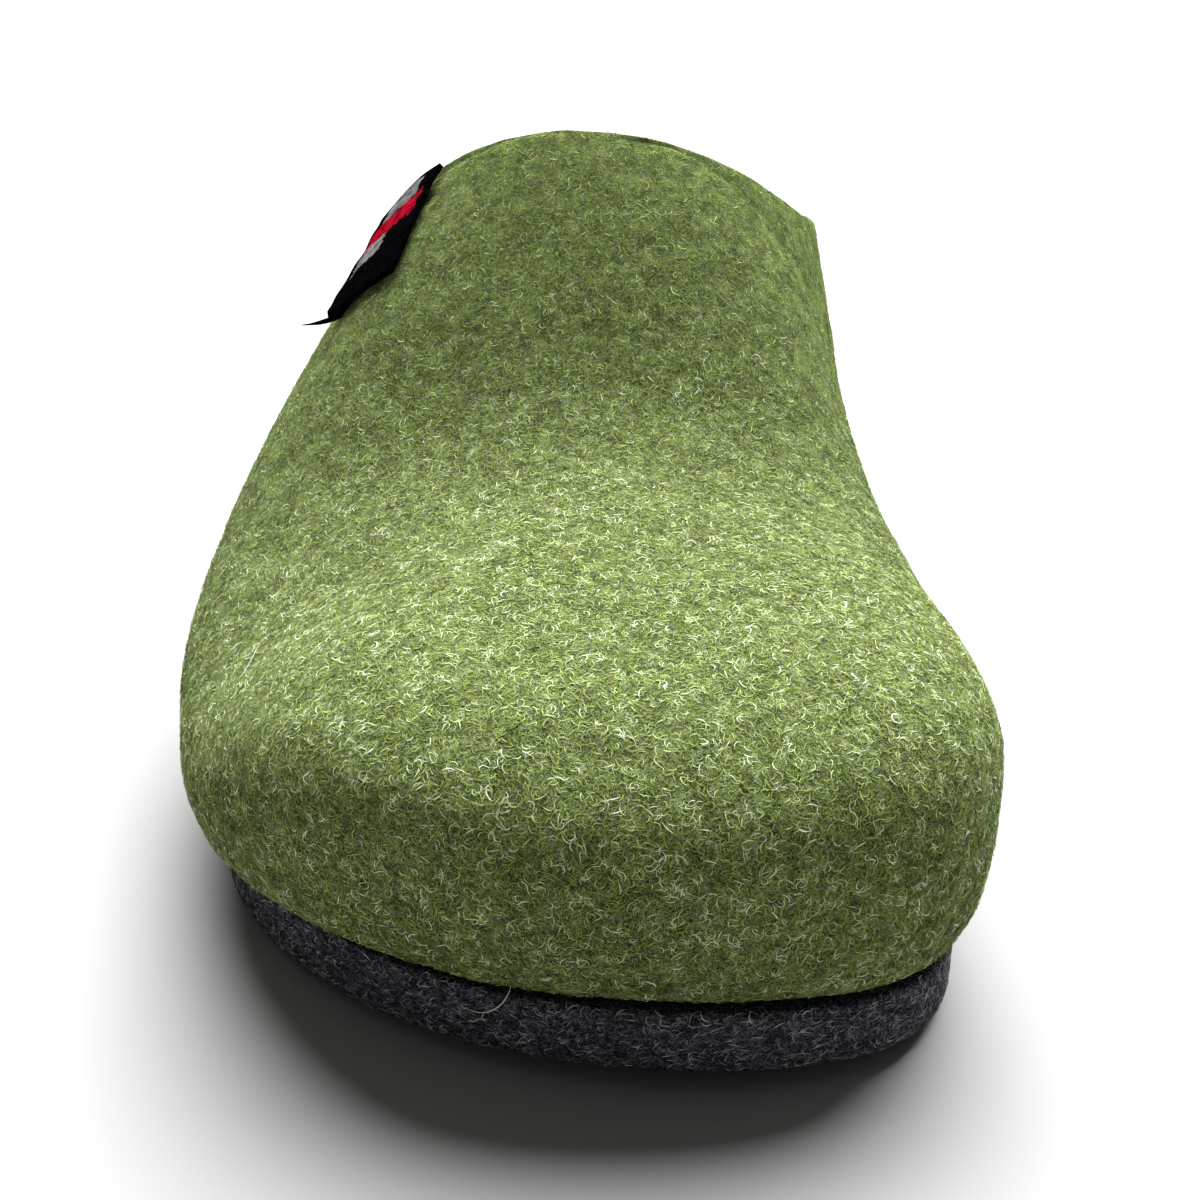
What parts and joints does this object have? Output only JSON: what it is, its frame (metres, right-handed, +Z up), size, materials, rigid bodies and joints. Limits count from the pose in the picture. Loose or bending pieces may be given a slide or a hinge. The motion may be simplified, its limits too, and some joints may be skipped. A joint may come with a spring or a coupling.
{
  "type": "felt slipper",
  "caption": "Closed-toe felt slipper with a seamless domed upper, a low open heel rim, a flat felt sole with toe spring and a small woven tab at the collar.",
  "frame": {"origin": "on the floor, under the middle of the slipper's outline", "axes": "+Z up, toe towards -Y, heel towards +Y, inner side of the right foot towards +X"},
  "size_m": [0.1146, 0.2734, 0.0921],
  "materials": {
    "felt_green": "thick matt wool felt in mottled apple green with paler fibres",
    "felt_grey": "plain matt grey wool felt",
    "felt_charcoal": "dense matt charcoal wool felt with lighter grey fibres",
    "woven_black": "black woven tab with plain red and grey bars and no lettering"
  },
  "bodies": {
    "root": {"upper": "felt_green", "insole": "felt_grey", "outsole": "felt_charcoal", "label": "woven_black"}
  },
  "joints": []
}
